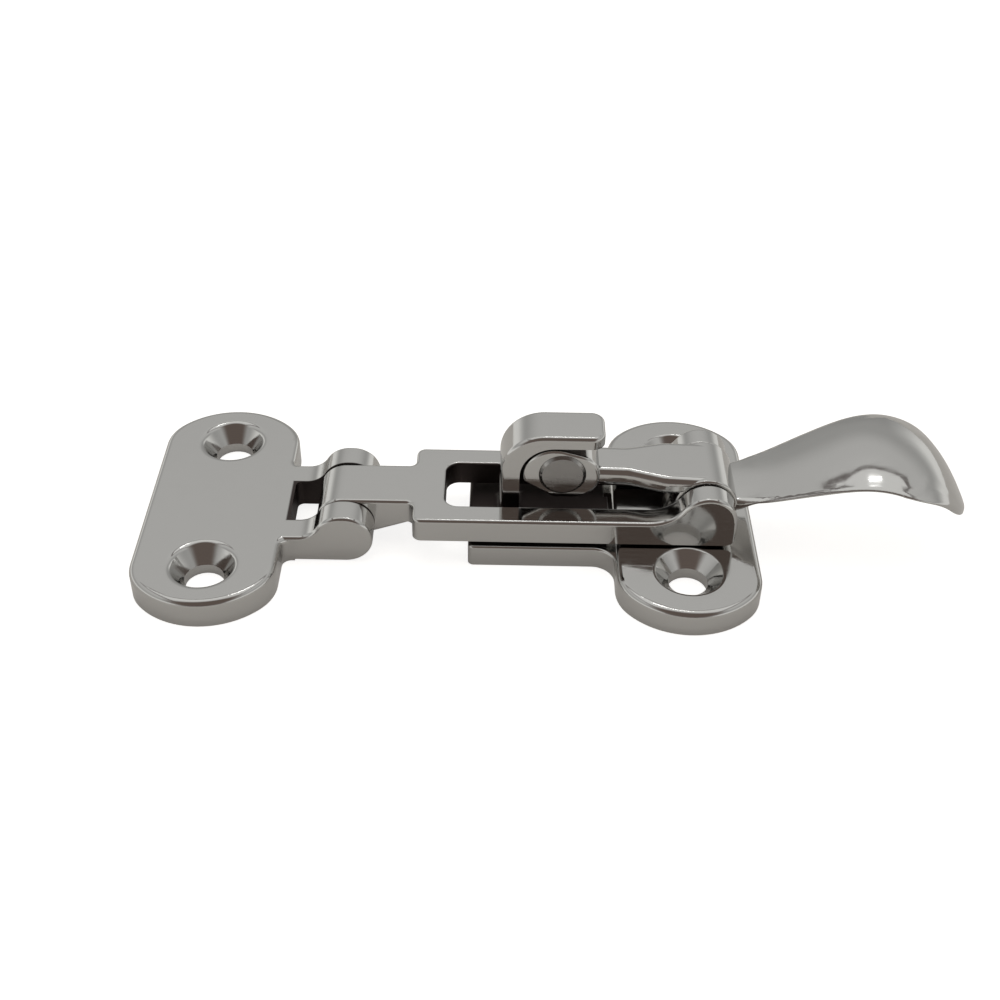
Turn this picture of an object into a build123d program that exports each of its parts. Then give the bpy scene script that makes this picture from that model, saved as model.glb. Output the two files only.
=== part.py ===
"""Over centre toggle latch, cast and polished stainless steel, shown latched.

Two screw plates lie on one mounting plane, Z = 0. X runs along the latch,
from the hinge plate to the handle, Y along the rows of screws and Z up.
The origin is at the middle of the base plate's two screw holes, on the
mounting plane. All sizes are in millimetres.
"""
from build123d import *
import os
from math import asin, cos, radians, sin, tan

# ---------------------------------------------------------------- screw plates
plate_width = 19.0            # along X
plate_length = 41.5           # along Y
plate_end_bulge = 1.1         # radius of the arc across each end, over half the width
plate_corner_radius = 6.4     # from that arc into the straight side
hinge_plate_thickness = 4.0
base_plate_thickness = 3.6
plate_edge_round = 0.9        # polished-over upper edge
screw_hole_radius = 2.6
hinge_hole_from_end = 7.55    # hole's middle to the plate's end
hinge_sink_radius = 4.4
hinge_sink_angle = 70.0
hinge_sink_rim_round = 1.0
base_hole_from_end = 8.25     # closer together, beside the strap
base_sink_radius = 4.55
base_sink_angle = 90.0
base_sink_rim_round = 0.6

# ---------------------------------------------------------------- pivots, latched
hinge_x = -45.8               # strap on hinge plate, as high as the barrel's radius
lever_pivot_x = 2.5           # lever in the strap's fork
lever_pivot_z = 7.8
nose_pivot_x = -16.65         # lever's nose in the hook
nose_pivot_z = 11.75
running_clearance = 0.03      # radial, pin in a turning bore
side_clearance = 0.1          # between turning cheeks

# ---------------------------------------------------------------- hinge
barrel_radius = 3.7           # its underside touches the mounting plane
hinge_pin_radius = 1.75
plate_to_hinge = 17.5         # hinge plate's middle to the hinge
ear_end_shift = 0.45          # the ears' round ends reach past the barrel
ear_root_fillet = 3.2         # hollow between plate top and ear
ear_side_fillet = 1.2         # hollow in plan between plate and ear
window_edge = 0.7             # plate metal left of the window between the ears
window_corner_radius = 0.9

# ---------------------------------------------------------------- strap
strap_width = 15.7
strap_thickness = 3.45
neck_width = 8.0
neck_under_x = -44.0          # where the neck's sloping underside leaves the barrel
neck_under_z = 1.25
shoulder_x = -36.4            # left end of the strap's wide part
shoulder_round = 1.2
neck_fillet = 1.0
slot_width = 9.1
slot_left_x = -32.2
slot_corner_radius = 1.8
slot_edge_round = 0.35
knuckle_radius = 3.85
knuckle_sweep_radius = 5.5    # hollow from the arm up to its knuckle
knuckle_heel_round = 1.4
lever_pin_radius = 2.0
strap_edge_round = 0.5

# ---------------------------------------------------------------- base and hook
strap_gap = 0.35              # between the base plate and the strap above it
stem_width = 16.1
stem_thickness = 3.2
stem_left_x = -29.0
stem_fillet = 3.0             # hollow in plan between stem and plate
stem_fillet_room = 0.3        # straight side kept between that hollow and the corner
stem_corner_round = 0.8
stem_edge_round = 0.4
hook_width = 6.2
hook_post_wall = 2.6
hook_lip_wall = 1.75
hook_back_radius = 5.9        # outside of the bend
hook_bend_radius = 4.6        # inside of the bend
hook_bend_x = -17.7
hook_bend_z = 11.3
hook_tip_x = -11.2
hook_tip_round = 1.8
hook_edge_round = 0.6
hook_foot_fillet = 0.9

# ---------------------------------------------------------------- lever
nose_clearance = 0.35         # nose to the inside of the hook
nose_width = 6.2
nose_lobe_radius = 3.55       # round end of the nose towards the handle
nose_lobe_x = -15.2
nose_lobe_z = 11.3
nose_slope_x = -17.8          # where the nose's flat underside turns up to the left
nose_slope_angle = 33.0
nose_under_round = 0.9
nose_edge_round = 0.5
nose_pin_radius = 3.1
nose_pin_proud = 0.3          # each end stands out of the nose
nose_pin_chamfer = 0.4
arm_lean = 1.5                # the arm's top rises at this angle from hub to nose
arm_depth = 2.7
arm_inset = 0.2               # the arm's sides stand back from the nose's
arm_edge_round = 1.1
hub_radius = 4.2
hub_side_clearance = 0.2      # hub to each arm of the fork
hub_edge_round = 0.3
hub_flare_x = -8.0            # where the arm starts to widen to the hub
hub_flare_length = 5.0
hub_flare_round = 5.0
handle_thickness = 2.0
handle_crown_radius = 30.0    # across the handle
handle_neck_width = 8.0
handle_neck_z = 8.9
handle_rise_x = 15.0
handle_rise_z = 11.9
handle_crest_x = 24.5
handle_crest_z = 15.0
handle_fall_x = 33.0
handle_fall_z = 12.6
handle_tip_x = 37.8
handle_tip_z = 6.0
handle_blade_radius = 9.1     # round end of the blade, in plan
handle_edge_round = 0.8

plate_end_radius = plate_width / 2 + plate_end_bulge
strap_bottom_z = base_plate_thickness + strap_gap
strap_top_z = strap_bottom_z + strap_thickness
hub_width = slot_width - 2 * hub_side_clearance

TINY = 1e-3                   # tolerance for picking edges and corners


def profile_solid(sketch, width):
    """Extrude a profile drawn in X and Z equally to both sides of Y = 0."""
    return extrude(Plane.XZ * sketch, amount=width / 2, both=True)


def limits_box(x_low, x_high, z_low, z_high):
    """A rectangle given by its limits, for profiles in X and Z."""
    middle = Pos((x_low + x_high) / 2, (z_low + z_high) / 2)
    return middle * Rectangle(x_high - x_low, z_high - z_low)


def cross_pin(x, z, radius, length):
    """A round pin or bore across the latch, along Y."""
    return Pos(x, 0, z) * Rot(90, 0, 0) * Cylinder(radius, length)


def side_edges(solid, half_width, keep=lambda centre: True):
    """The edges that lie in the planes Y = +half_width and -half_width."""
    flat = solid.edges().filter_by(lambda e: e.bounding_box().size.Y < TINY)
    at_side = flat.filter_by(lambda e: abs(abs(e.center().Y) - half_width) < TINY)
    return at_side.filter_by(lambda e: keep(e.center()))


def plate_outline():
    """Straight-sided plate whose ends are wide arcs with rounded corners."""
    arc_middle = plate_length / 2 - plate_end_radius
    outline = Rectangle(plate_width, 2 * arc_middle)
    for side in (1, -1):
        outline += Pos(0, side * arc_middle) * Circle(plate_end_radius)
    outline &= Rectangle(plate_width, plate_length)
    return fillet(outline.vertices(), plate_corner_radius)


def drill_screw_holes(plate, middle_x, thickness, from_end, sink_radius, sink_angle, rim_round):
    """Two countersunk holes in a row along Y, with softened rims."""
    for side in (1, -1):
        mouth = Pos(middle_x, side * (plate_length / 2 - from_end), thickness)
        plate -= mouth * CounterSinkHole(screw_hole_radius, sink_radius, thickness, sink_angle)
    rims = plate.edges().filter_by(GeomType.CIRCLE).filter_by(
        lambda e: abs(e.radius - sink_radius) < TINY and abs(e.arc_center.Z - thickness) < TINY
    )
    return fillet(rims, rim_round)


def ear_profile():
    """Side view of an ear: a bar from the plate that rises to its round end."""
    plate_right = hinge_x - plate_to_hinge + plate_width / 2
    eye = Pos(hinge_x, barrel_radius) * Circle(barrel_radius)
    ear = make_hull(eye.edges() + (Pos(ear_end_shift, 0) * eye).edges())
    ear += limits_box(plate_right - plate_edge_round, hinge_x, 0, hinge_plate_thickness)
    hollow = ear.vertices().filter_by(
        lambda v: abs(v.Y - hinge_plate_thickness) < TINY and v.X > plate_right
    )
    return fillet(hollow, ear_root_fillet)


def make_hinge_plate():
    """Screw plate with two ears that hold the hinge pin."""
    middle_x = hinge_x - plate_to_hinge
    plate_right = middle_x + plate_width / 2
    window_left = plate_right + window_edge
    outline = Pos(middle_x, 0) * plate_outline()
    outline += limits_box(middle_x, window_left + window_corner_radius, -strap_width / 2, strap_width / 2)
    inner = outline.vertices().filter_by(
        lambda v: abs(v.X - plate_right) < TINY and abs(abs(v.Y) - strap_width / 2) < TINY
    )
    slab = extrude(fillet(inner, ear_side_fillet), amount=hinge_plate_thickness)
    top_rim = slab.faces().sort_by(Axis.Z)[-1].outer_wire().edges().filter_by(
        lambda e: e.center().X < plate_right + ear_side_fillet
    )
    slab = fillet(top_rim, plate_edge_round)
    ears = profile_solid(ear_profile(), strap_width)
    ears = fillet(side_edges(ears, strap_width / 2), strap_edge_round)
    plate = slab + ears
    gap = neck_width + 2 * side_clearance
    window = limits_box(window_left, hinge_x + 2 * barrel_radius, -gap / 2, gap / 2)
    window = fillet(window.vertices().group_by(Axis.X)[0], window_corner_radius)
    plate -= extrude(window, amount=3 * barrel_radius)
    plate -= cross_pin(hinge_x, barrel_radius, hinge_pin_radius, 2 * strap_width)
    return drill_screw_holes(
        plate, middle_x, hinge_plate_thickness,
        hinge_hole_from_end, hinge_sink_radius, hinge_sink_angle, hinge_sink_rim_round,
    )


def bar_profile():
    """Side view of the strap's bar, which rises to a knuckle at its right end."""
    right_x = lever_pivot_x + knuckle_radius
    profile = limits_box(hinge_x, right_x, strap_bottom_z, strap_top_z)
    profile += limits_box(lever_pivot_x, right_x, strap_bottom_z, lever_pivot_z)
    profile += Pos(lever_pivot_x, lever_pivot_z) * Circle(knuckle_radius)
    hollow = profile.vertices().filter_by(
        lambda v: abs(v.Y - strap_top_z) < TINY and v.X > shoulder_x
    )
    return fillet(hollow, knuckle_sweep_radius)


def bar_plan():
    """Plan of the strap: narrow neck, wide bar and the slot that forks it."""
    end_x = lever_pivot_x + 2 * knuckle_radius
    wide = limits_box(shoulder_x, end_x, -strap_width / 2, strap_width / 2)
    wide = fillet(wide.vertices().group_by(Axis.X)[0], shoulder_round)
    plan = wide + limits_box(hinge_x, shoulder_x + shoulder_round, -neck_width / 2, neck_width / 2)
    inner = plan.vertices().filter_by(
        lambda v: abs(v.X - shoulder_x) < TINY and abs(abs(v.Y) - neck_width / 2) < TINY
    )
    plan = fillet(inner, neck_fillet)
    slot = limits_box(slot_left_x, end_x + knuckle_radius, -slot_width / 2, slot_width / 2)
    return plan - fillet(slot.vertices().group_by(Axis.X)[0], slot_corner_radius)


def make_neck():
    """The barrel on the hinge pin and the neck, whose underside slopes."""
    slope = Polyline(
        (neck_under_x, neck_under_z),
        (shoulder_x, strap_bottom_z),
        (shoulder_x, strap_top_z),
        (hinge_x, strap_top_z),
        (hinge_x, barrel_radius),
        close=True,
    )
    profile = make_face(slope) + Pos(hinge_x, barrel_radius) * Circle(barrel_radius)
    neck = profile_solid(profile, neck_width)
    return fillet(side_edges(neck, neck_width / 2, lambda c: c.X < shoulder_x - TINY), strap_edge_round)


def heel_limits():
    """A box round the bar whose lower right corner is the knuckle's round heel."""
    right_x = lever_pivot_x + knuckle_radius
    box = limits_box(hinge_x, right_x, strap_bottom_z, lever_pivot_z + 2 * knuckle_radius)
    heel = box.vertices().sort_by_distance((right_x, strap_bottom_z))[0]
    return fillet(heel, knuckle_heel_round)


def above_bar(centre):
    """True for an edge's middle on the bar's top, left of its knuckle."""
    return centre.Z > strap_top_z - TINY and centre.X < lever_pivot_x


def make_strap():
    """The bar between the hinge and the lever, forked round the hook."""
    bar = profile_solid(bar_profile(), strap_width)
    bar &= extrude(bar_plan(), amount=lever_pivot_z + 2 * knuckle_radius)
    bar = fillet(side_edges(bar, strap_width / 2, above_bar).filter_by(GeomType.LINE), strap_edge_round)
    bar = fillet(side_edges(bar, slot_width / 2, above_bar).filter_by(GeomType.LINE), slot_edge_round)
    strap = bar & profile_solid(heel_limits(), strap_width)
    strap += make_neck()
    strap -= cross_pin(hinge_x, barrel_radius, hinge_pin_radius + running_clearance, strap_width)
    strap -= cross_pin(lever_pivot_x, lever_pivot_z, lever_pin_radius, 2 * strap_width)
    return strap


def hook_profile():
    """Side view of the hook: post, round bend and flat lip, open to the right."""
    left_x = hook_bend_x - hook_bend_radius - hook_post_wall
    top_z = hook_bend_z + hook_bend_radius + hook_lip_wall
    outer = limits_box(left_x, hook_tip_x, 0, top_z)
    back = outer.vertices().sort_by_distance((left_x, top_z))[0]
    outer = fillet(back, hook_back_radius)
    open_x = hook_tip_x + hook_bend_radius
    inner = Pos(hook_bend_x, hook_bend_z) * Circle(hook_bend_radius)
    inner += limits_box(hook_bend_x - hook_bend_radius, open_x, 0, hook_bend_z)
    inner += limits_box(hook_bend_x, open_x, 0, hook_bend_z + hook_bend_radius)
    return outer - inner


def make_hook():
    """The hook with its rounded tip and softened outer edges."""
    hook = profile_solid(hook_profile(), hook_width)
    hook = fillet(hook.edges().filter_by(Axis.Z).group_by(Axis.X)[-1], hook_tip_round)
    top_z = hook_bend_z + hook_bend_radius + hook_lip_wall
    top = side_edges(hook, hook_width / 2, lambda c: c.Z > top_z - TINY)
    return fillet(top, hook_edge_round)


def make_stem():
    """The flat stem that carries the hook and flares into the plate."""
    plate_left = -plate_width / 2
    stem = limits_box(stem_left_x, 0, -stem_width / 2, stem_width / 2)
    stem = fillet(stem.vertices().group_by(Axis.X)[0], stem_corner_round)
    side_end = plate_outline().edges().filter_by(Axis.Y).sort_by(Axis.X)[0].length / 2
    hollow = min(stem_fillet, side_end - stem_width / 2 - stem_fillet_room)
    outline = plate_outline() + stem
    inner = outline.vertices().filter_by(
        lambda v: abs(v.X - plate_left) < TINY and abs(abs(v.Y) - stem_width / 2) < TINY
    )
    outline = fillet(inner, hollow)
    reach = stem_width / 2 + hollow
    outline &= limits_box(stem_left_x, plate_left + 2 * plate_edge_round, -reach, reach)
    stem = extrude(outline, amount=stem_thickness)
    rim = stem.faces().sort_by(Axis.Z)[-1].outer_wire().edges()
    return fillet(rim.filter_by(lambda e: (e @ 0.5).X < plate_left - TINY), stem_edge_round)


def make_base_plate():
    """Screw plate, the stem under the strap and the hook, in one casting."""
    plate = extrude(plate_outline(), amount=base_plate_thickness)
    rim = plate.faces().sort_by(Axis.Z)[-1].outer_wire().edges()
    plate = fillet(rim, plate_edge_round) + make_stem() + make_hook()
    post_x = hook_bend_x - hook_bend_radius - hook_post_wall / 2
    foot = plate.edges().filter_by(
        lambda e: abs(e.center().Z - stem_thickness) < TINY
        and e.bounding_box().size.Z < TINY
        and abs(e.center().X - post_x) < hook_post_wall
        and abs(e.center().Y) < hook_width / 2 + TINY
    )
    plate = fillet(foot, hook_foot_fillet)
    return drill_screw_holes(
        plate, 0, base_plate_thickness,
        base_hole_from_end, base_sink_radius, base_sink_angle, base_sink_rim_round,
    )


def nose_profile():
    """Side view of the nose: a round back for the hook's bend and a lobe."""
    back = Pos(hook_bend_x, hook_bend_z) * Circle(hook_bend_radius - nose_clearance)
    lobe = Pos(nose_lobe_x, nose_lobe_z) * Circle(nose_lobe_radius)
    under_z = nose_lobe_z - nose_lobe_radius
    reach = 4 * hook_bend_radius
    angle = radians(nose_slope_angle)
    above = Polyline(
        (nose_slope_x, under_z),
        (nose_slope_x - reach * cos(angle), under_z + reach * sin(angle)),
        (nose_slope_x, under_z + reach),
        (nose_slope_x + reach, under_z + reach),
        (nose_slope_x + reach, under_z),
        close=True,
    )
    profile = make_hull(back.edges() + lobe.edges()) & make_face(above)
    sharp = profile.vertices().filter_by(
        lambda v: v.X < nose_slope_x + TINY and v.Y < nose_lobe_z
    )
    return fillet(sharp, nose_under_round)


def arm_profile():
    """Side view of the arm, whose top leaves the hub's round on a tangent."""
    lean = radians(arm_lean)
    touch_x = lever_pivot_x + hub_radius * sin(lean)
    touch_z = lever_pivot_z + hub_radius * cos(lean)
    nose_z = touch_z + (touch_x - nose_pivot_x) * tan(lean)
    side = Polyline(
        (nose_pivot_x, nose_z),
        (touch_x, touch_z),
        (touch_x, touch_z - arm_depth),
        (nose_pivot_x, nose_z - arm_depth),
        close=True,
    )
    return make_face(side)


def arm_plan():
    """Plan of the arm: nearly as wide as the nose, then flaring to the hub's width."""
    end_x = lever_pivot_x + hub_radius
    half_width = nose_width / 2 - arm_inset
    flare_end = hub_flare_x + hub_flare_length
    half = Polyline(
        (nose_pivot_x, 0),
        (nose_pivot_x, half_width),
        (hub_flare_x, half_width),
        (flare_end, hub_width / 2),
        (end_x, hub_width / 2),
        (end_x, 0),
        close=True,
    )
    plan = make_face(half)
    bends = plan.vertices().filter_by(
        lambda v: hub_flare_x - TINY < v.X < flare_end + TINY and v.Y > TINY
    )
    plan = fillet(bends, hub_flare_round)
    return plan + mirror(plan, about=Plane.XZ)


def make_arm():
    """The flat arm from the nose to the hub, with rounded sides."""
    arm = profile_solid(arm_profile(), hub_width)
    arm &= extrude(arm_plan(), amount=2 * nose_pivot_z)
    sides = arm.edges().filter_by(
        lambda e: abs(e.center().Y) > nose_width / 4 and e.bounding_box().size.X > arm_depth / 2
    )
    return fillet(sides, arm_edge_round)


def make_hub():
    """The turned hub between the strap's arms, flat underneath."""
    hub = Pos(lever_pivot_x, lever_pivot_z) * Circle(hub_radius)
    hub &= limits_box(
        lever_pivot_x - hub_radius, lever_pivot_x + hub_radius, strap_bottom_z, lever_pivot_z + hub_radius
    )
    solid = profile_solid(hub, hub_width)
    return fillet(side_edges(solid, hub_width / 2).filter_by(GeomType.CIRCLE), hub_edge_round)


def handle_plan(neck_x):
    """Plan of the handle: a taper that runs tangent into the round blade."""
    blade_x = handle_tip_x - handle_blade_radius
    lean = asin((handle_blade_radius - handle_neck_width / 2) / (blade_x - neck_x))
    join_x = blade_x - handle_blade_radius * sin(lean)
    join_y = handle_blade_radius * cos(lean)
    taper = Polyline(
        (neck_x, -handle_neck_width / 2),
        (join_x, -join_y),
        (join_x, join_y),
        (neck_x, handle_neck_width / 2),
        close=True,
    )
    blade = Pos(blade_x, 0) * Rot(0, 0, 180) * Circle(handle_blade_radius)
    return make_face(taper) + blade


def crowned_band():
    """Cross section of the handle: a band of even thickness, domed across."""
    half_width = 1.3 * handle_blade_radius
    drop = handle_crown_radius - (handle_crown_radius**2 - half_width**2) ** 0.5
    top = ThreePointArc((-half_width, -drop), (0, 0), (half_width, -drop))
    under = Pos(0, -handle_thickness) * top
    sides = [Line(top @ 0, under @ 0), Line(top @ 1, under @ 1)]
    return make_face([top, under] + sides)


def make_handle():
    """The domed handle, bent down to its tip, with a rounded rim."""
    neck_x = lever_pivot_x + 0.6 * hub_radius
    spine = Plane.XZ * Spline(
        (neck_x, handle_neck_z),
        (handle_rise_x, handle_rise_z),
        (handle_crest_x, handle_crest_z),
        (handle_fall_x, handle_fall_z),
        (handle_tip_x, handle_tip_z),
        (handle_tip_x + handle_thickness, handle_tip_z - 2 * handle_thickness),
    )
    start = Plane(origin=spine @ 0, x_dir=(0, 1, 0), z_dir=spine % 0)
    blade = sweep(start * crowned_band(), path=spine)
    blade &= extrude(handle_plan(neck_x), amount=2 * handle_crest_z)
    rim = blade.edges().filter_by(
        lambda e: e.center().X > neck_x + hub_radius and e.bounding_box().size.X > handle_edge_round
    )
    return fillet(rim, handle_edge_round)


def make_lever():
    """Handle, hub, arm and nose in one casting."""
    nose = profile_solid(nose_profile(), nose_width)
    nose = fillet(side_edges(nose, nose_width / 2), nose_edge_round)
    lever = nose + make_arm()
    lever += make_hub() + make_handle()
    lever -= cross_pin(nose_pivot_x, nose_pivot_z, nose_pin_radius + running_clearance, 2 * nose_width)
    lever -= cross_pin(lever_pivot_x, lever_pivot_z, lever_pin_radius + running_clearance, 2 * hub_width)
    return lever


def make_nose_pin():
    """The pin across the nose, with broken edges on its proud ends."""
    pin = cross_pin(nose_pivot_x, nose_pivot_z, nose_pin_radius, nose_width + 2 * nose_pin_proud)
    return chamfer(pin.edges().filter_by(GeomType.CIRCLE), nose_pin_chamfer)


parts = {
    "hinge_plate": make_hinge_plate(),
    "hinge_pin": cross_pin(hinge_x, barrel_radius, hinge_pin_radius, strap_width),
    "strap": make_strap(),
    "lever_pin": cross_pin(lever_pivot_x, lever_pivot_z, lever_pin_radius, strap_width),
    "lever": make_lever(),
    "nose_pin": make_nose_pin(),
    "base_plate": make_base_plate(),
}

os.makedirs("parts", exist_ok=True)
for name, solid in parts.items():
    export_step(solid, f"parts/{name}.step")
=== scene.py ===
from math import cos, radians, sin

import bpy
import numpy as np
from mathutils import Matrix, Vector
from mathutils.bvhtree import BVHTree


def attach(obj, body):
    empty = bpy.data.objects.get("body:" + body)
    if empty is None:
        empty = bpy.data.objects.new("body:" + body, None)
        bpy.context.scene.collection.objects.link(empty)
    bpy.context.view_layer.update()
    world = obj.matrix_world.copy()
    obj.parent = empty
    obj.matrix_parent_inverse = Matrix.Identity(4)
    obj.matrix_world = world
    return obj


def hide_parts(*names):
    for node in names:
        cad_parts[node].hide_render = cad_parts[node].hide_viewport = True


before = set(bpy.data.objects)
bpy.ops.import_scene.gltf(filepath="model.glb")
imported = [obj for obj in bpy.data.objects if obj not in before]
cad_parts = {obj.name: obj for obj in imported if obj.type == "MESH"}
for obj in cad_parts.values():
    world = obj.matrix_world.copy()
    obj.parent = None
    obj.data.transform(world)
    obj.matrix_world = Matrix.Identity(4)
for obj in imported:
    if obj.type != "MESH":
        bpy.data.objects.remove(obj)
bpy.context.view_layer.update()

MM = 0.001
MICRON = 1e-6

# The viewpoint: where the lens stands, how it is turned, and its focal length.
LENS_MM = 51.555
SENSOR_MM = 36.0
CAMERA_PLACE = Vector((-24.96, -150.73, 128.98)) * MM
CAMERA_DOWN = radians(39.511)
CAMERA_YAW = radians(0.056)
CAMERA_ROLL = radians(1.058)
CAMERA_CLIP = 0.005

# The steel. Haze is the mean roughness, ripple the depth of the waves that buffing leaves.
POLISHED = {"shade_hex": "#c8c7c5", "haze": 0.10, "ripple_um": 6.0}
GROUND = {"shade_hex": "#9c9a98", "haze": 0.20, "ripple_um": 2.0}
# The colour below is painted shade: the recesses inside the boxes further down are darkened to
# it. The haze is their rough cast surface.
PAINTED_SHADE_SKIN_HEX = "#4b4442"
SKIN_HAZE = 0.38

# Opposite corners, in the part's millimetres, of the boxes that no buffing wheel reaches: in the
# slot, under the lever's arm and in the hinge window. There the cast surface is left rough, and
# its dark colour is painted shade.
UNBUFFED_AND_SHADED = {
    "base_plate": [((-29.5, -7.7, 3.0), (-10.5, 7.7, 3.5)),
                   ((-22.4, -2.9, 3.0), (-10.0, 2.9, 16.0))],
    "hinge_plate": [((-53.5, -4.2, -0.1), (-40.0, 4.2, 8.0))],
    "strap": [((-32.5, -4.65, 3.0), (-2.0, 4.65, 7.3))],
    "lever": [((-22.5, -2.7, 3.0), (-1.0, 2.7, 9.6))],
}

# The sweep: its paper, and the light added to it for the lens and for the metal.
FLOOR_SIZE = 3.0
FLOOR_HEX = "#e0ddd8"
FLOOR_GLOW_TO_LENS = 0.8
FLOOR_GLOW_TO_METAL = 0.11

# The light tent. Bands are the walls' tones against the sine of the angle above the floor.
TENT_BANDS = ((0.0, "#a2a2a0"), (0.38, "#b2b2b0"), (0.64, "#cfcfcd"), (0.97, "#dededc"))
# The side panels fade in between two angles off the middle and out between two heights.
SIDE_HEX = "#f2f2ef"
SIDE_FADE_IN = (sin(radians(20)), sin(radians(38)))
SIDE_FADE_OUT = (sin(radians(8)), sin(radians(24)))
# The soft box in the roof: its edges as horizontal over vertical distance, and the outer
# edge of its dark rim and the softness of both edges as shares of that.
ROOF_BOX_HALF_WIDTH = 0.6
ROOF_BOX_MIDDLE = 0.04
ROOF_BOX_HALF_DEPTH = 0.54
ROOF_BOX_HEX = "#efefed"
ROOF_BOX_RIM = 1.2
ROOF_BOX_RIM_HEX = "#7d7876"
ROOF_BOX_SOFTNESS = 0.05
# The shade round the lens fades in between two angles off the line to it.
CAMERA_SHADE_HEX = "#6e635d"
CAMERA_SHADE_FADE = (cos(radians(50)), cos(radians(26)))

# The strip light, above and a little behind.
STRIP_PLACE = Vector((0.0, 0.15, 0.475))
STRIP_AIM = Vector((-0.01, 0, 0))
STRIP_LENGTH = 0.12
STRIP_DEPTH = 0.012
STRIP_WATTS = 0.05


def linear(code):
    """An sRGB hex colour as the linear RGBA that Blender's sockets take."""
    parts = [int(code[i:i + 2], 16) / 255 for i in (1, 3, 5)]
    return [c / 12.92 if c <= 0.04045 else ((c + 0.055) / 1.055) ** 2.4 for c in parts] + [1.0]


def add(tree, kind, links=None, **settings):
    """Adds one node; settings are its own fields, links feed its inputs by name or number."""
    node = tree.nodes.new(kind)
    for field, value in settings.items():
        setattr(node, field, value)
    for socket, value in (links or {}).items():
        if isinstance(value, bpy.types.NodeSocket):
            tree.links.new(value, node.inputs[socket])
        else:
            node.inputs[socket].default_value = value
    return node


def scalar(tree, operation, *values):
    """The result of a math node."""
    return add(tree, "ShaderNodeMath", dict(enumerate(values)), operation=operation).outputs[0]


def vector(tree, operation, *values):
    """The vector result of a vector math node."""
    return add(tree, "ShaderNodeVectorMath", dict(enumerate(values)),
               operation=operation).outputs["Vector"]


def remap(tree, value, start, end, first=0.0, last=1.0, curve="LINEAR"):
    """A value carried from the range start to end over to first to last, and held there."""
    return add(tree, "ShaderNodeMapRange",
               {"Value": value, "From Min": start, "From Max": end, "To Min": first,
                "To Max": last}, interpolation_type=curve).outputs[0]


def blend(tree, share, first, second):
    """The colour that runs from first to second as share runs from 0 to 1."""
    return add(tree, "ShaderNodeMix", {"Factor": share, 6: first, 7: second},
               data_type="RGBA").outputs[2]


def new_tree(owner):
    """Turns nodes on for a material or world and empties its tree."""
    owner.use_nodes = True
    owner.node_tree.nodes.clear()
    return owner.node_tree


def within(tree, place, low_mm, high_mm):
    """1 inside a box of the part's own millimetres and 0 outside, with a soft edge."""
    edge_start, edge_end = 0.99, 1.02
    middle = [(a + b) / 2 * MM for a, b in zip(low_mm, high_mm)]
    half = [(b - a) / 2 * MM for a, b in zip(low_mm, high_mm)]
    share = vector(tree, "DIVIDE", vector(tree, "SUBTRACT", place, middle), half)
    x, y, z = add(tree, "ShaderNodeSeparateXYZ", {0: vector(tree, "ABSOLUTE", share)}).outputs
    farthest = scalar(tree, "MAXIMUM", scalar(tree, "MAXIMUM", x, y), z)
    return remap(tree, farthest, edge_start, edge_end, 1.0, 0.0)


def casting_steel(name, shade_hex, haze, ripple_um, unbuffed_and_shaded=()):
    """Investment-cast stainless steel, ground and buffed.

    The eye gets a clear but slightly wavy reflection: buffing leaves the metal a few
    micrometres out of true every few millimetres, and a faint haze of fine wheel marks.
    Within the boxes that no wheel reaches, the rough cast surface is left, and a dark colour is
    painted on it as the shade in those recesses.
    """
    ripple_mm = 7.0
    ripple_detail = 1.0
    ripple_roughness = 0.4
    wheel_mark_mm = 0.35
    wheel_mark_detail = 3.0
    wheel_mark_stretch = (0.12, 1.0, 1.0)
    patch_mm = 3.0
    patch_detail = 2.0
    least_mark, most_mark = 0.12, 0.42
    least_haze, most_haze = 0.6 * haze, 1.6 * haze
    material = bpy.data.materials.new(name)
    tree = new_tree(material)
    place = add(tree, "ShaderNodeTexCoord").outputs["Object"]
    ripple = add(tree, "ShaderNodeTexNoise",
                 {"Vector": place, "Scale": 1 / (ripple_mm * MM), "Detail": ripple_detail,
                  "Roughness": ripple_roughness})
    along = add(tree, "ShaderNodeMapping", {"Vector": place, "Scale": wheel_mark_stretch})
    marks = add(tree, "ShaderNodeTexNoise",
                {"Vector": along.outputs[0], "Scale": 1 / (wheel_mark_mm * MM),
                 "Detail": wheel_mark_detail})
    patches = add(tree, "ShaderNodeTexNoise",
                  {"Vector": place, "Scale": 1 / (patch_mm * MM), "Detail": patch_detail})
    marked = scalar(tree, "MULTIPLY", marks.outputs[0], patches.outputs[0])
    rough = remap(tree, marked, least_mark, most_mark, least_haze, most_haze)
    wave = add(tree, "ShaderNodeBump", {"Height": ripple.outputs[0], "Strength": 1.0,
                                        "Distance": ripple_um * MICRON})
    steel = add(tree, "ShaderNodeBsdfPrincipled",
                {"Base Color": linear(shade_hex), "Metallic": 1.0, "Normal": wave.outputs[0]})
    if unbuffed_and_shaded:
        # The boxes' mask: a rough cast surface there, and painted shade on it.
        skin_and_shade = within(tree, place, *unbuffed_and_shaded[0])
        for box in unbuffed_and_shaded[1:]:
            skin_and_shade = scalar(tree, "MAXIMUM", skin_and_shade, within(tree, place, *box))
        # Painted shade: inside the boxes the metal's colour is darkened, for the shade in the
        # slot, under the arm and in the window.
        tone = blend(tree, skin_and_shade, linear(shade_hex), linear(PAINTED_SHADE_SKIN_HEX))
        tree.links.new(tone, steel.inputs["Base Color"])
        rough = scalar(tree, "MULTIPLY_ADD", skin_and_shade, SKIN_HAZE, rough)
    tree.links.new(rough, steel.inputs["Roughness"])
    add(tree, "ShaderNodeOutputMaterial", {"Surface": steel.outputs[0]})
    return material


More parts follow.
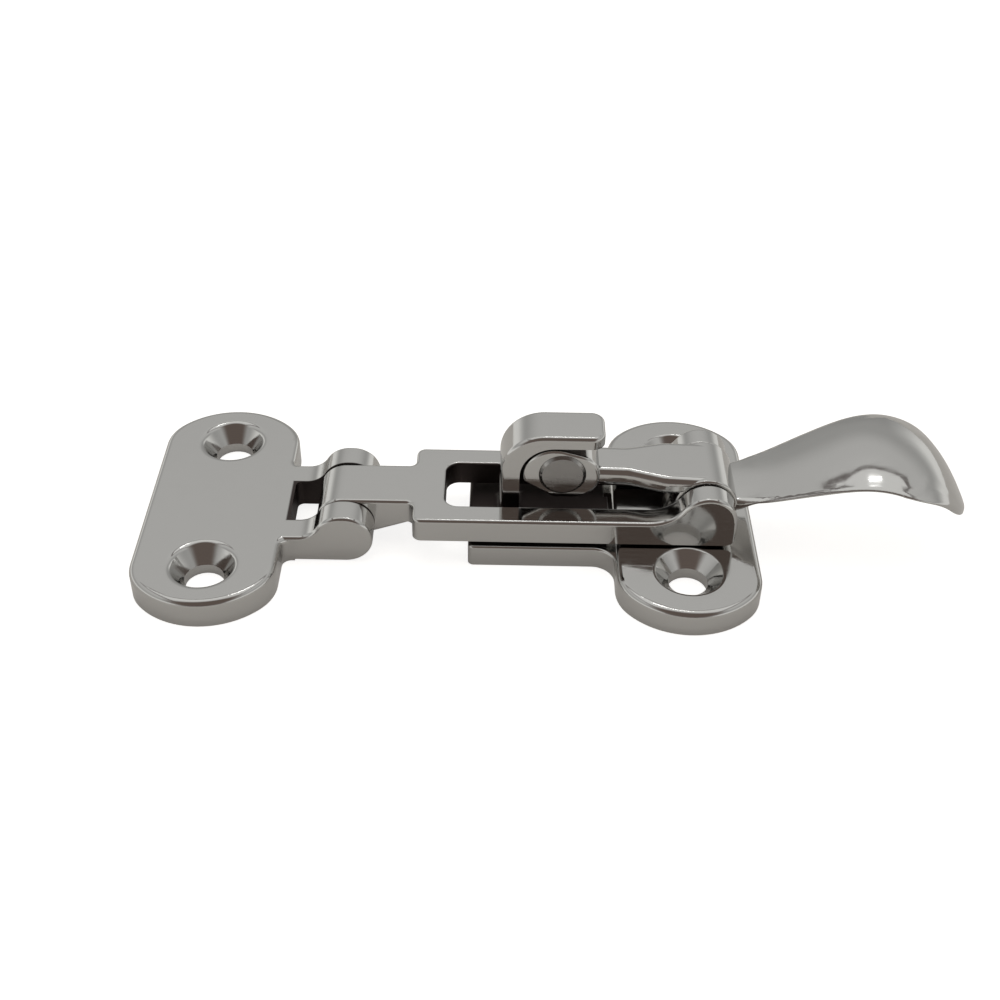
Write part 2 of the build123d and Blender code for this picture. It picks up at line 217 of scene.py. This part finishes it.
def paper_sweep():
    """Matt pale paper: plain and soft, white to the lens, with the latch's shadow kept on it."""
    material = bpy.data.materials.new("pale_paper")
    tree = new_tree(material)
    paper = add(tree, "ShaderNodeBsdfDiffuse", {"Color": linear(FLOOR_HEX)})
    ray = add(tree, "ShaderNodeLightPath").outputs
    to_lens = scalar(tree, "MULTIPLY", ray["Is Camera Ray"], FLOOR_GLOW_TO_LENS)
    glow = scalar(tree, "MULTIPLY_ADD", ray["Is Glossy Ray"], FLOOR_GLOW_TO_METAL, to_lens)
    lift = add(tree, "ShaderNodeEmission", {"Color": linear("#ffffff"), "Strength": glow})
    both = add(tree, "ShaderNodeAddShader", {0: paper.outputs[0], 1: lift.outputs[0]})
    add(tree, "ShaderNodeOutputMaterial", {"Surface": both.outputs[0]})
    return material


def make_floor():
    """The plain floor that both plates lie on."""
    half = FLOOR_SIZE / 2
    mesh = bpy.data.meshes.new("floor")
    mesh.from_pydata([(-half, -half, 0), (half, -half, 0), (half, half, 0), (-half, half, 0)],
                     [], [(0, 1, 2, 3)])
    mesh.materials.append(paper_sweep())
    floor = bpy.data.objects.new("floor", mesh)
    bpy.context.scene.collection.objects.link(floor)


def make_tent():
    """A light tent as a function of direction: dimmer low down and pale above, with a bright
    panel low at each side, a dark-rimmed soft box in the roof and a shade round the lens."""
    world = bpy.data.worlds.new("light_tent")
    bpy.context.scene.world = world
    tree = new_tree(world)
    aim = add(tree, "ShaderNodeTexCoord").outputs["Generated"]
    x, y, z = add(tree, "ShaderNodeSeparateXYZ", {0: aim}).outputs
    walls = add(tree, "ShaderNodeValToRGB", {0: z})
    ramp = walls.color_ramp
    ramp.interpolation = "EASE"
    for element, (height, code) in zip(ramp.elements, (TENT_BANDS[0], TENT_BANDS[-1])):
        element.position = height
        element.color = linear(code)
    for height, code in TENT_BANDS[1:-1]:
        ramp.elements.new(height).color = linear(code)

    aside = remap(tree, scalar(tree, "ABSOLUTE", x), *SIDE_FADE_IN, curve="SMOOTHSTEP")
    low = remap(tree, z, *SIDE_FADE_OUT, 1.0, 0.0, curve="SMOOTHSTEP")
    panels = scalar(tree, "MULTIPLY", aside, low)
    colour = blend(tree, panels, walls.outputs[0], linear(SIDE_HEX))

    across = scalar(tree, "DIVIDE", scalar(tree, "DIVIDE", x, z), ROOF_BOX_HALF_WIDTH)
    along = scalar(tree, "SUBTRACT", scalar(tree, "DIVIDE", y, z), ROOF_BOX_MIDDLE)
    along = scalar(tree, "DIVIDE", along, ROOF_BOX_HALF_DEPTH)
    reach = scalar(tree, "MAXIMUM", scalar(tree, "ABSOLUTE", across),
                   scalar(tree, "ABSOLUTE", along))
    for end, code in ((ROOF_BOX_RIM, ROOF_BOX_RIM_HEX), (1.0, ROOF_BOX_HEX)):
        inside = remap(tree, reach, end - ROOF_BOX_SOFTNESS, end, 1.0, 0.0, curve="SMOOTHSTEP")
        colour = blend(tree, inside, colour, linear(code))

    lens_side = (0.0, -cos(CAMERA_DOWN), sin(CAMERA_DOWN))
    nearness = add(tree, "ShaderNodeVectorMath", {0: aim, 1: lens_side}, operation="DOT_PRODUCT")
    shade = remap(tree, nearness.outputs["Value"], *CAMERA_SHADE_FADE, curve="SMOOTHSTEP")
    colour = blend(tree, shade, colour, linear(CAMERA_SHADE_HEX))

    to_lens = add(tree, "ShaderNodeLightPath").outputs["Is Camera Ray"]
    colour = blend(tree, to_lens, colour, linear("#ffffff"))
    glow = add(tree, "ShaderNodeBackground", {"Color": colour, "Strength": 1.0})
    add(tree, "ShaderNodeOutputWorld", {"Surface": glow.outputs[0]})


def make_strip_light():
    """A flat lamp, long along X, that lights the edges."""
    lamp = bpy.data.lights.new("strip_light", "AREA")
    lamp.shape = "RECTANGLE"
    lamp.size = STRIP_LENGTH
    lamp.size_y = STRIP_DEPTH
    lamp.energy = STRIP_WATTS
    holder = bpy.data.objects.new("strip_light", lamp)
    holder.location = STRIP_PLACE
    holder.rotation_euler = (STRIP_AIM - STRIP_PLACE).to_track_quat("-Z", "Y").to_euler()
    bpy.context.scene.collection.objects.link(holder)


def make_camera():
    """The lens, turned down, yawed and rolled from its place."""
    ahead = Vector((sin(CAMERA_YAW) * cos(CAMERA_DOWN), cos(CAMERA_YAW) * cos(CAMERA_DOWN),
                    -sin(CAMERA_DOWN)))
    level = Vector((cos(CAMERA_YAW), -sin(CAMERA_YAW), 0.0))
    above = level.cross(ahead)
    right = cos(CAMERA_ROLL) * level + sin(CAMERA_ROLL) * above
    up = cos(CAMERA_ROLL) * above - sin(CAMERA_ROLL) * level
    data = bpy.data.cameras.new("camera")
    data.sensor_width = SENSOR_MM
    data.lens = LENS_MM
    data.clip_start = CAMERA_CLIP
    camera = bpy.data.objects.new("camera", data)
    turn = Matrix((right, up, -ahead)).transposed().to_4x4()
    camera.matrix_world = Matrix.Translation(CAMERA_PLACE) @ turn
    bpy.context.scene.collection.objects.link(camera)
    bpy.context.scene.camera = camera


def ease(x, start, end):
    """0 before start, 1 after end, smooth between."""
    t = np.clip((x - start) / (end - start), 0, 1)
    return t * t * (3 - 2 * t)


def thin_rim_lever(material):
    """The lever with its handle's underside drawn up to a thin rim, as a hand-ground blade has.

    In millimetres, a point of the blade rises by
        lift(x) + rim_thinning * ease(x) * t**2 * d
    where t runs from 0 on the blade's middle line to 1 on its outline and d from 0 on its
    upper side, z = middle(x) - crown(x) * y**2, to 1 on its underside, depth(x) below.
    A normal (a, b, c) becomes (a - c*fx/(1 + fz), b - c*fy/(1 + fz), c/(1 + fz)), with fx,
    fy and fz the rise's slopes, and is then made one long.
    """
    rim_thinning = 1.5
    # The blade's outline: a taper from the neck to the join, and a round end.
    neck_start, neck_end = 6.4, 9.5
    neck_x, neck_half = 5.02, 4.0
    join_x, join_half = 26.74, 8.89
    round_x, round_radius = 28.7, 9.1
    # The whole blade's lift, and the tip's further lift.
    blade_lift, blade_lift_end = 0.30, 16.0
    tip_lift, tip_lift_start, tip_lift_end = 0.35, 28.0, 36.0
    # Where rays measure the blade: from x to x, on its middle line, and beside it by an
    # offset that narrows towards the tip. Smooth curves are fitted to what they find.
    first_x, last_x, stations = 7.2, 37.0, 50
    offset, narrowing_x, narrowing_length = 4.0, 30.0, 7.0
    ray_height = 40.0
    curve_degree = 9
    step = 0.02

    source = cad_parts["lever"].data
    count = len(source.vertices)
    points = np.empty(3 * count)
    source.vertices.foreach_get("co", points)
    points = points.reshape(-1, 3) / MM
    normals = np.empty(3 * len(source.loops))
    source.corner_normals.foreach_get("vector", normals)
    corner = np.empty(len(source.loops), dtype=np.int32)
    source.loops.foreach_get("vertex_index", corner)
    normal = np.zeros((count, 3))
    normal[corner] = normals.reshape(-1, 3)
    tree = BVHTree.FromPolygons(points.tolist(), [tuple(f.vertices) for f in source.polygons])

    def height(x, y, way):
        """The height at which a ray that goes up (way 1) or down (way -1) meets the lever."""
        return tree.ray_cast(Vector((x, y, -ray_height * way)), Vector((0, 0, way)))[0].z

    line_x = np.linspace(first_x, last_x, stations)
    line_y = offset * np.cos(np.clip(line_x - narrowing_x, 0, narrowing_length)
                             / narrowing_length)
    top = np.array([height(x, 0, -1) for x in line_x])
    aside = np.array([height(x, y, -1) for x, y in zip(line_x, line_y)])
    under = np.array([height(x, 0, 1) for x in line_x])
    curves = [np.polynomial.Chebyshev.fit(line_x, line, curve_degree)
              for line in (top, (top - aside) / line_y ** 2, top - under)]
    end_slope = curves[0].deriv()(last_x)

    def rise(x, y, z):
        """How far the point (x, y, z) of the blade goes up."""
        middle, crown, depth = (curve(np.clip(x, first_x, last_x)) for curve in curves)
        middle = middle + end_slope * np.maximum(x - last_x, 0)
        half = neck_half + (x - neck_x) * (join_half - neck_half) / (join_x - neck_x)
        round_end = np.hypot(np.maximum(x - round_x, 0), y) / round_radius
        t = np.where(x < join_x, np.abs(y) / half, round_end)
        d = np.clip((middle - crown * y * y - z) / depth, 0, 1)
        lift = (blade_lift * ease(x, neck_start, blade_lift_end)
                + tip_lift * ease(x, tip_lift_start, tip_lift_end))
        return lift + rim_thinning * ease(x, neck_start, neck_end) * np.clip(t, 0, 1) ** 2 * d

    blade = points[:, 0] > neck_start
    x, y, z = points[blade].T
    up = rise(x, y, z)
    slope_x = (rise(x + step, y, z) - up) / step
    slope_y = (rise(x, y + step, z) - up) / step
    slope_z = (rise(x, y, z + step) - up) / step
    a, b, c = normal[blade].T
    turned = np.stack((a - c * slope_x / (1 + slope_z), b - c * slope_y / (1 + slope_z),
                       c / (1 + slope_z)), axis=1)
    normal[blade] = turned / np.linalg.norm(turned, axis=1, keepdims=True)
    points[blade, 2] += up

    mesh = source.copy()
    mesh.name = "lever_thin_rim"
    mesh.vertices.foreach_set("co", (points * MM).ravel())
    mesh.normals_split_custom_set_from_vertices(normal.tolist())
    mesh.materials.clear()
    mesh.materials.append(material)
    piece = bpy.data.objects.new("lever_thin_rim", mesh)
    bpy.context.scene.collection.objects.link(piece)
    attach(piece, "handle")
    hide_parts("lever")


def dress(node, material):
    """Gives a CAD node one material."""
    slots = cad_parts[node].data.materials
    slots.clear()
    slots.append(material)


for node in ("base_plate", "hinge_plate", "strap"):
    dress(node, casting_steel("buffed_stainless_" + node, **POLISHED, unbuffed_and_shaded=UNBUFFED_AND_SHADED[node]))
thin_rim_lever(casting_steel("buffed_stainless_lever", **POLISHED, unbuffed_and_shaded=UNBUFFED_AND_SHADED["lever"]))
flush_pin = casting_steel("buffed_stainless_pin", **POLISHED)
for node in ("hinge_pin", "lever_pin"):
    dress(node, flush_pin)
dress("nose_pin", casting_steel("ground_stainless_pin", **GROUND))

make_floor()
make_tent()
make_strip_light()
make_camera()

bpy.context.scene.view_settings.view_transform = "Standard"
